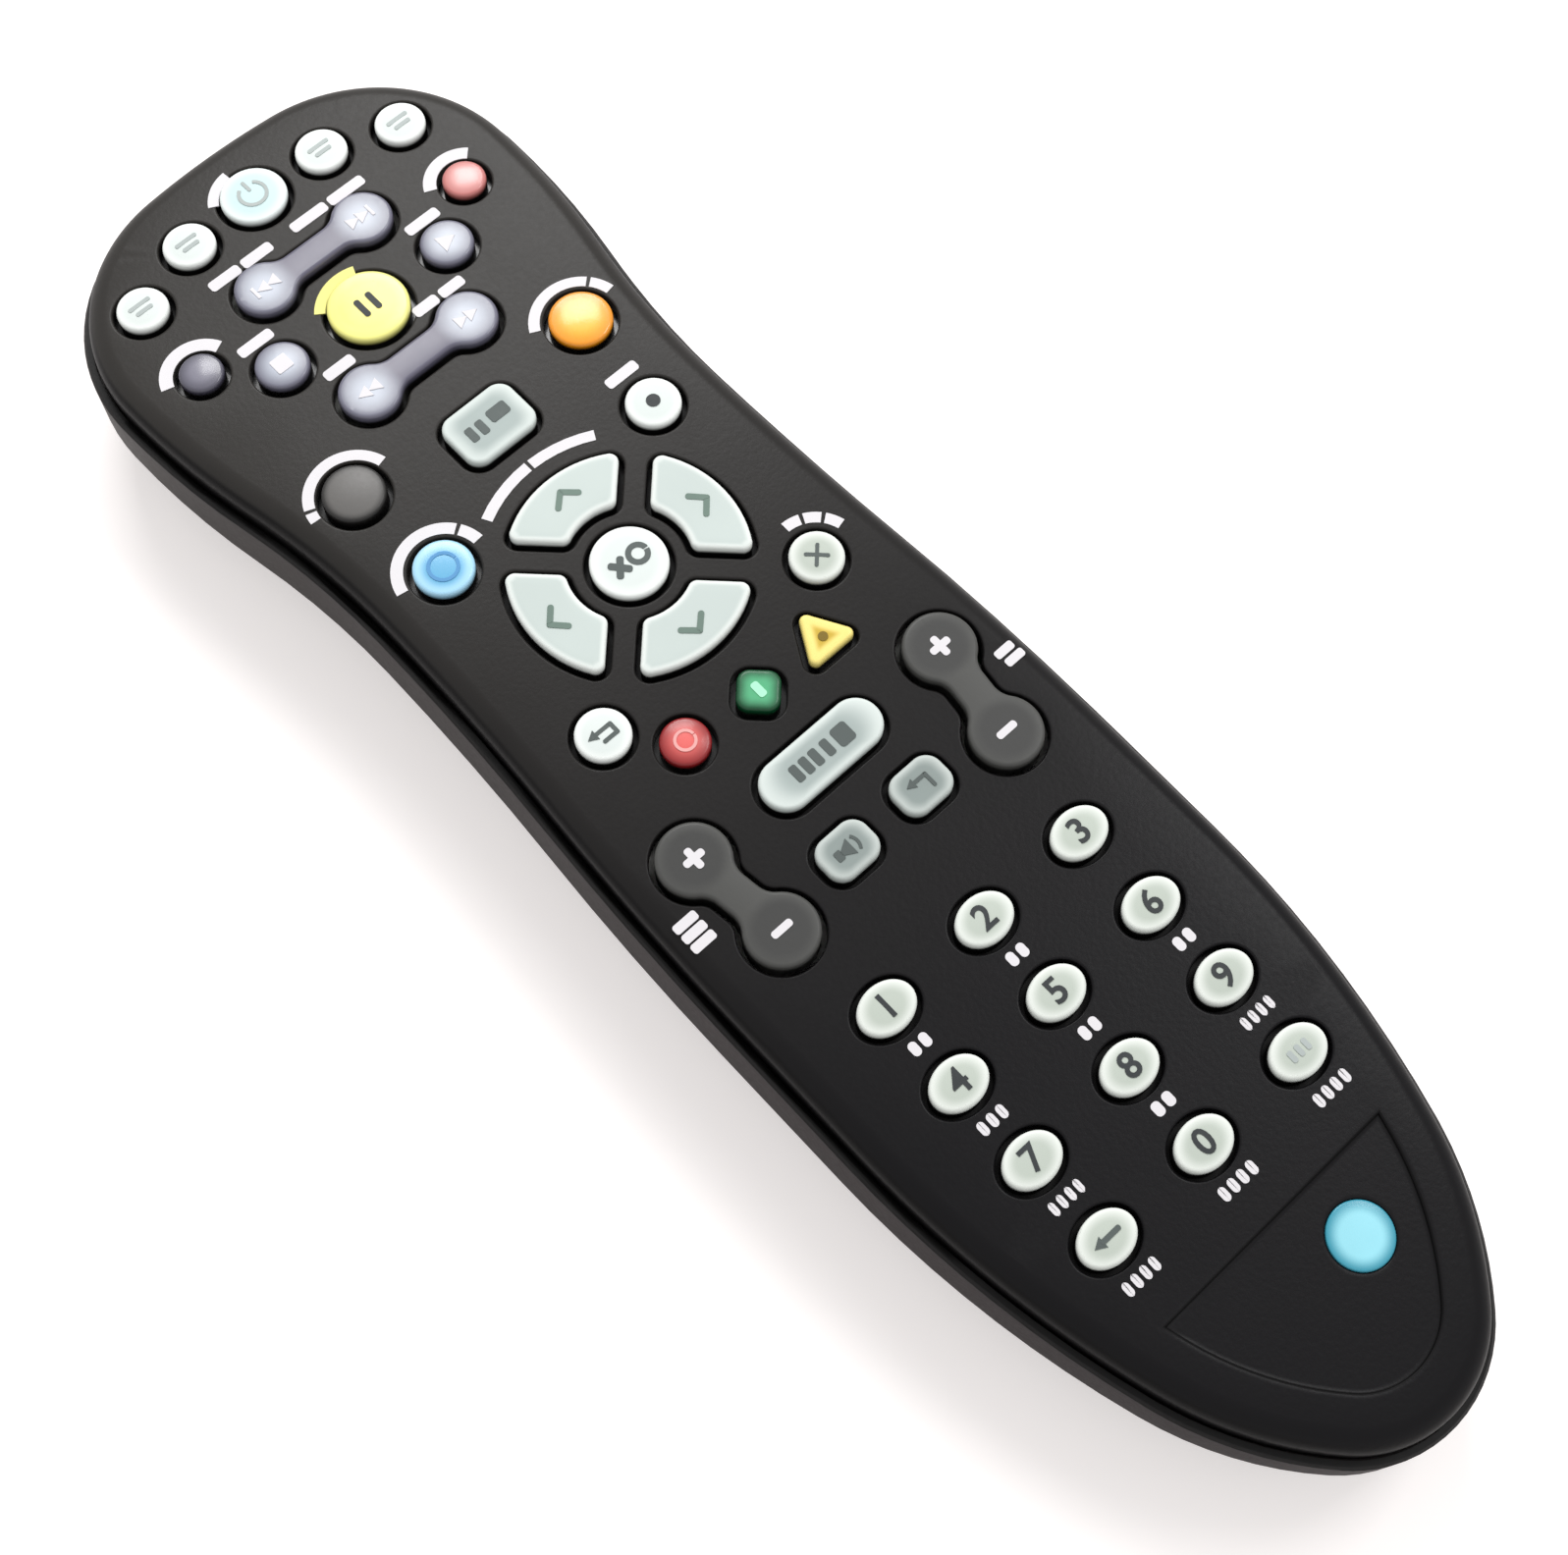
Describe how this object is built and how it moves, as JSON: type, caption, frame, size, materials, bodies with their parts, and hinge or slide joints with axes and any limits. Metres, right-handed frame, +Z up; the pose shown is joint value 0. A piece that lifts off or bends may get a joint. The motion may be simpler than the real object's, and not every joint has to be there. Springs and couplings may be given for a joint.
{
  "type": "tv box remote control",
  "caption": "Long hand-held infrared remote control with a crowned dark case, coloured press keys, rocker keys, a direction ring and a hinged battery cover.",
  "frame": {"origin": "on the flat underside, at the middle of the case's length and width", "axes": "+Y along the length toward the head with the infrared window, +Z up out of the key face, +X to the right of someone who looks down on the keys with the head up"},
  "size_m": [0.0678, 0.232, 0.0283],
  "materials": {
    "charcoal_shell": "fine satin texture",
    "grey_shell": "fine satin texture",
    "cyan_disc": "smooth gloss",
    "smoked_window": "polished",
    "cell_sleeve": "printed sleeve, left bare",
    "spring_steel": "bright sheet",
    "board_laminate": "solder resist",
    "black_chip": "moulded",
    "can_steel": "drawn can",
    "lamp_resin": "clear dark resin",
    "mat_silicone": "soft matt",
    "screw_steel": "zinc plated",
    "white_keys": "soft gloss",
    "pale_keys": "soft gloss",
    "number_keys": "soft gloss",
    "lilac_keys": "soft gloss",
    "yellow_keys": "soft gloss",
    "orange_keys": "soft gloss",
    "blue_keys": "soft gloss",
    "pink_keys": "soft gloss",
    "red_keys": "soft gloss",
    "green_keys": "soft gloss",
    "silver_keys": "soft gloss",
    "dark_keys": "satin"
  },
  "bodies": {
    "case": {"upper_housing": "charcoal_shell", "badge_disc": "cyan_disc", "lower_housing": "grey_shell", "infrared_window": "smoked_window", "battery_1": "cell_sleeve", "battery_2": "cell_sleeve", "contact_plus": "spring_steel", "contact_minus": "spring_steel", "contact_bridge": "spring_steel", "circuit_board": "board_laminate", "main_chip": "black_chip", "crystal_can": "can_steel", "infrared_lamp": "lamp_resin", "keypad_mat": "mat_silicone", "housing_screws": "screw_steel"},
    "power_key": {"power_key": "pale_keys"},
    "device_key_1": {"device_key_1": "pale_keys"},
    "device_key_2": {"device_key_2": "white_keys"},
    "device_key_3": {"device_key_3": "white_keys"},
    "device_key_4": {"device_key_4": "pale_keys"},
    "list_key": {"list_key": "lilac_keys"},
    "record_key": {"record_key": "pink_keys"},
    "stop_key": {"stop_key": "lilac_keys"},
    "play_key": {"play_key": "lilac_keys"},
    "pause_key": {"pause_key": "yellow_keys"},
    "library_key": {"library_key": "dark_keys"},
    "recordings_key": {"recordings_key": "orange_keys"},
    "guide_key": {"guide_key": "blue_keys"},
    "info_key": {"info_key": "white_keys"},
    "back_key": {"back_key": "white_keys"},
    "exit_key": {"exit_key": "white_keys"},
    "red_key": {"red_key": "red_keys"},
    "up_key": {"up_key": "white_keys"},
    "left_key": {"left_key": "white_keys"},
    "down_key": {"down_key": "white_keys"},
    "right_key": {"right_key": "white_keys"},
    "select_key": {"select_key": "white_keys"},
    "menu_key": {"menu_key": "silver_keys"},
    "green_key": {"green_key": "green_keys"},
    "yellow_key": {"yellow_key": "yellow_keys"},
    "source_key": {"source_key": "silver_keys"},
    "mute_key": {"mute_key": "silver_keys"},
    "last_key": {"last_key": "silver_keys"},
    "key_1": {"key_1": "number_keys"},
    "key_2": {"key_2": "number_keys"},
    "key_3": {"key_3": "number_keys"},
    "key_4": {"key_4": "number_keys"},
    "key_5": {"key_5": "number_keys"},
    "key_6": {"key_6": "number_keys"},
    "key_7": {"key_7": "number_keys"},
    "key_8": {"key_8": "number_keys"},
    "key_9": {"key_9": "number_keys"},
    "delete_key": {"delete_key": "number_keys"},
    "key_0": {"key_0": "number_keys"},
    "enter_key": {"enter_key": "number_keys"},
    "skip_rocker": {"skip_rocker": "lilac_keys"},
    "wind_rocker": {"wind_rocker": "lilac_keys"},
    "volume_rocker": {"volume_rocker": "dark_keys"},
    "channel_rocker": {"channel_rocker": "dark_keys"},
    "battery_cover": {"battery_cover": "grey_shell"}
  },
  "joints": [
    {"name": "skip_rocker_tilt", "type": "hinge", "parent": "case", "child": "skip_rocker", "pos_m": [0, 0.0902, 0.02168], "axis": [0, 1, 0], "range_deg": [-3.5, 3.5], "stiffness_Nm_per_rad": 0.05},
    {"name": "wind_rocker_tilt", "type": "hinge", "parent": "case", "child": "wind_rocker", "pos_m": [0, 0.0683, 0.02288], "axis": [0, 1, 0], "range_deg": [-3.5, 3.5], "stiffness_Nm_per_rad": 0.05},
    {"name": "volume_rocker_tilt", "type": "hinge", "parent": "case", "child": "volume_rocker", "pos_m": [-0.0198, -0.0148, 0.0244], "axis": [0.9914, 0.1305, 0], "range_deg": [-3.5, 3.5], "stiffness_Nm_per_rad": 0.05},
    {"name": "channel_rocker_tilt", "type": "hinge", "parent": "case", "child": "channel_rocker", "pos_m": [0.0198, -0.0148, 0.0244], "axis": [0.9914, -0.1305, 0], "range_deg": [-3.5, 3.5], "stiffness_Nm_per_rad": 0.05},
    {"name": "battery_cover_swing", "type": "hinge", "parent": "case", "child": "battery_cover", "pos_m": [0, -0.07545, 0], "axis": [-1, 0, 0], "range_deg": [0, 60]},
    {"name": "power_key_press", "type": "slide", "parent": "case", "child": "power_key", "axis": [0, 0, -1], "range_m": [0, 0.0008], "stiffness_N_per_m": 300},
    {"name": "device_key_1_press", "type": "slide", "parent": "case", "child": "device_key_1", "axis": [0, 0, -1], "range_m": [0, 0.0008], "stiffness_N_per_m": 300},
    {"name": "device_key_2_press", "type": "slide", "parent": "case", "child": "device_key_2", "axis": [0, 0, -1], "range_m": [0, 0.0008], "stiffness_N_per_m": 300},
    {"name": "device_key_3_press", "type": "slide", "parent": "case", "child": "device_key_3", "axis": [0, 0, -1], "range_m": [0, 0.0008], "stiffness_N_per_m": 300},
    {"name": "device_key_4_press", "type": "slide", "parent": "case", "child": "device_key_4", "axis": [0, 0, -1], "range_m": [0, 0.0008], "stiffness_N_per_m": 300},
    {"name": "list_key_press", "type": "slide", "parent": "case", "child": "list_key", "axis": [0, 0, -1], "range_m": [0, 0.0008], "stiffness_N_per_m": 300},
    {"name": "record_key_press", "type": "slide", "parent": "case", "child": "record_key", "axis": [0, 0, -1], "range_m": [0, 0.0008], "stiffness_N_per_m": 300},
    {"name": "stop_key_press", "type": "slide", "parent": "case", "child": "stop_key", "axis": [0, 0, -1], "range_m": [0, 0.0008], "stiffness_N_per_m": 300},
    {"name": "play_key_press", "type": "slide", "parent": "case", "child": "play_key", "axis": [0, 0, -1], "range_m": [0, 0.0008], "stiffness_N_per_m": 300},
    {"name": "pause_key_press", "type": "slide", "parent": "case", "child": "pause_key", "axis": [0, 0, -1], "range_m": [0, 0.0008], "stiffness_N_per_m": 300},
    {"name": "library_key_press", "type": "slide", "parent": "case", "child": "library_key", "axis": [0, 0, -1], "range_m": [0, 0.0008], "stiffness_N_per_m": 300},
    {"name": "recordings_key_press", "type": "slide", "parent": "case", "child": "recordings_key", "axis": [0, 0, -1], "range_m": [0, 0.0008], "stiffness_N_per_m": 300},
    {"name": "guide_key_press", "type": "slide", "parent": "case", "child": "guide_key", "axis": [0, 0, -1], "range_m": [0, 0.0008], "stiffness_N_per_m": 300},
    {"name": "info_key_press", "type": "slide", "parent": "case", "child": "info_key", "axis": [0, 0, -1], "range_m": [0, 0.0008], "stiffness_N_per_m": 300},
    {"name": "back_key_press", "type": "slide", "parent": "case", "child": "back_key", "axis": [0, 0, -1], "range_m": [0, 0.0008], "stiffness_N_per_m": 300},
    {"name": "exit_key_press", "type": "slide", "parent": "case", "child": "exit_key", "axis": [0, 0, -1], "range_m": [0, 0.0008], "stiffness_N_per_m": 300},
    {"name": "red_key_press", "type": "slide", "parent": "case", "child": "red_key", "axis": [0, 0, -1], "range_m": [0, 0.0008], "stiffness_N_per_m": 300},
    {"name": "up_key_press", "type": "slide", "parent": "case", "child": "up_key", "axis": [0, 0, -1], "range_m": [0, 0.0008], "stiffness_N_per_m": 300},
    {"name": "left_key_press", "type": "slide", "parent": "case", "child": "left_key", "axis": [0, 0, -1], "range_m": [0, 0.0008], "stiffness_N_per_m": 300},
    {"name": "down_key_press", "type": "slide", "parent": "case", "child": "down_key", "axis": [0, 0, -1], "range_m": [0, 0.0008], "stiffness_N_per_m": 300},
    {"name": "right_key_press", "type": "slide", "parent": "case", "child": "right_key", "axis": [0, 0, -1], "range_m": [0, 0.0008], "stiffness_N_per_m": 300},
    {"name": "select_key_press", "type": "slide", "parent": "case", "child": "select_key", "axis": [0, 0, -1], "range_m": [0, 0.0008], "stiffness_N_per_m": 300},
    {"name": "menu_key_press", "type": "slide", "parent": "case", "child": "menu_key", "axis": [0, 0, -1], "range_m": [0, 0.0008], "stiffness_N_per_m": 300},
    {"name": "green_key_press", "type": "slide", "parent": "case", "child": "green_key", "axis": [0, 0, -1], "range_m": [0, 0.0008], "stiffness_N_per_m": 300},
    {"name": "yellow_key_press", "type": "slide", "parent": "case", "child": "yellow_key", "axis": [0, 0, -1], "range_m": [0, 0.0008], "stiffness_N_per_m": 300},
    {"name": "source_key_press", "type": "slide", "parent": "case", "child": "source_key", "axis": [0, 0, -1], "range_m": [0, 0.0008], "stiffness_N_per_m": 300},
    {"name": "mute_key_press", "type": "slide", "parent": "case", "child": "mute_key", "axis": [0, 0, -1], "range_m": [0, 0.0008], "stiffness_N_per_m": 300},
    {"name": "last_key_press", "type": "slide", "parent": "case", "child": "last_key", "axis": [0, 0, -1], "range_m": [0, 0.0008], "stiffness_N_per_m": 300},
    {"name": "key_1_press", "type": "slide", "parent": "case", "child": "key_1", "axis": [0, 0, -1], "range_m": [0, 0.0008], "stiffness_N_per_m": 300},
    {"name": "key_2_press", "type": "slide", "parent": "case", "child": "key_2", "axis": [0, 0, -1], "range_m": [0, 0.0008], "stiffness_N_per_m": 300},
    {"name": "key_3_press", "type": "slide", "parent": "case", "child": "key_3", "axis": [0, 0, -1], "range_m": [0, 0.0008], "stiffness_N_per_m": 300},
    {"name": "key_4_press", "type": "slide", "parent": "case", "child": "key_4", "axis": [0, 0, -1], "range_m": [0, 0.0008], "stiffness_N_per_m": 300},
    {"name": "key_5_press", "type": "slide", "parent": "case", "child": "key_5", "axis": [0, 0, -1], "range_m": [0, 0.0008], "stiffness_N_per_m": 300},
    {"name": "key_6_press", "type": "slide", "parent": "case", "child": "key_6", "axis": [0, 0, -1], "range_m": [0, 0.0008], "stiffness_N_per_m": 300},
    {"name": "key_7_press", "type": "slide", "parent": "case", "child": "key_7", "axis": [0, 0, -1], "range_m": [0, 0.0008], "stiffness_N_per_m": 300},
    {"name": "key_8_press", "type": "slide", "parent": "case", "child": "key_8", "axis": [0, 0, -1], "range_m": [0, 0.0008], "stiffness_N_per_m": 300},
    {"name": "key_9_press", "type": "slide", "parent": "case", "child": "key_9", "axis": [0, 0, -1], "range_m": [0, 0.0008], "stiffness_N_per_m": 300},
    {"name": "delete_key_press", "type": "slide", "parent": "case", "child": "delete_key", "axis": [0, 0, -1], "range_m": [0, 0.0008], "stiffness_N_per_m": 300},
    {"name": "key_0_press", "type": "slide", "parent": "case", "child": "key_0", "axis": [0, 0, -1], "range_m": [0, 0.0008], "stiffness_N_per_m": 300},
    {"name": "enter_key_press", "type": "slide", "parent": "case", "child": "enter_key", "axis": [0, 0, -1], "range_m": [0, 0.0008], "stiffness_N_per_m": 300}
  ]
}
